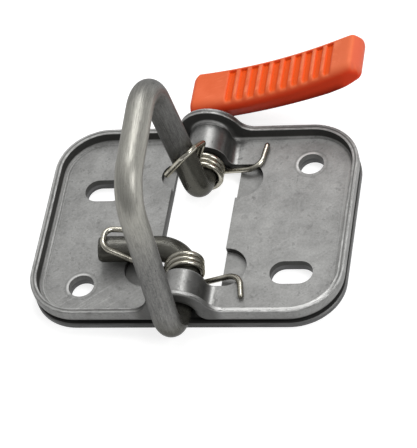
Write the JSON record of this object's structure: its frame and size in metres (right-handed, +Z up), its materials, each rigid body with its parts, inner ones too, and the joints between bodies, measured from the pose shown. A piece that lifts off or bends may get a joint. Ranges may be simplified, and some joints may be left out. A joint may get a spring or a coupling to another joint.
{
  "type": "hood latch",
  "caption": "Hood latch: a bent round bar with a bail and a gripped handle arm turns under saddles in a pressed steel tray, and torsion springs return it to its stop.",
  "frame": {"origin": "midway between the round bolt holes, at the centre of the base plate's underside", "axes": "+Z up out of the mounting face, +Y along the pivot axis towards the handle arm, +X the side that the handle arm points to"},
  "size_m": [0.1115, 0.1157, 0.0803],
  "materials": {
    "plate_steel": "dull dark steel with light edges",
    "tray_steel": "grey plated steel, mottled and scuffed",
    "bar_steel": "satin drawn steel with long scratches",
    "spring_steel": "bright plated spring wire",
    "grip_plastic": "semi-gloss orange moulding"
  },
  "bodies": {
    "base": {"base_plate": "plate_steel", "tray": "tray_steel", "back_spring": "spring_steel", "front_spring": "spring_steel"},
    "bail": {"bail_bar": "bar_steel", "grip": "grip_plastic"}
  },
  "joints": [
    {"name": "bail_pivot", "type": "hinge", "parent": "base", "child": "bail", "pos_m": [0, 0, 0.0071], "axis": [0, 1, 0], "range_deg": [0, 50], "stiffness_Nm_per_rad": 2.4, "springref_deg": -20.05, "deforming": ["back_spring", "front_spring"]}
  ]
}
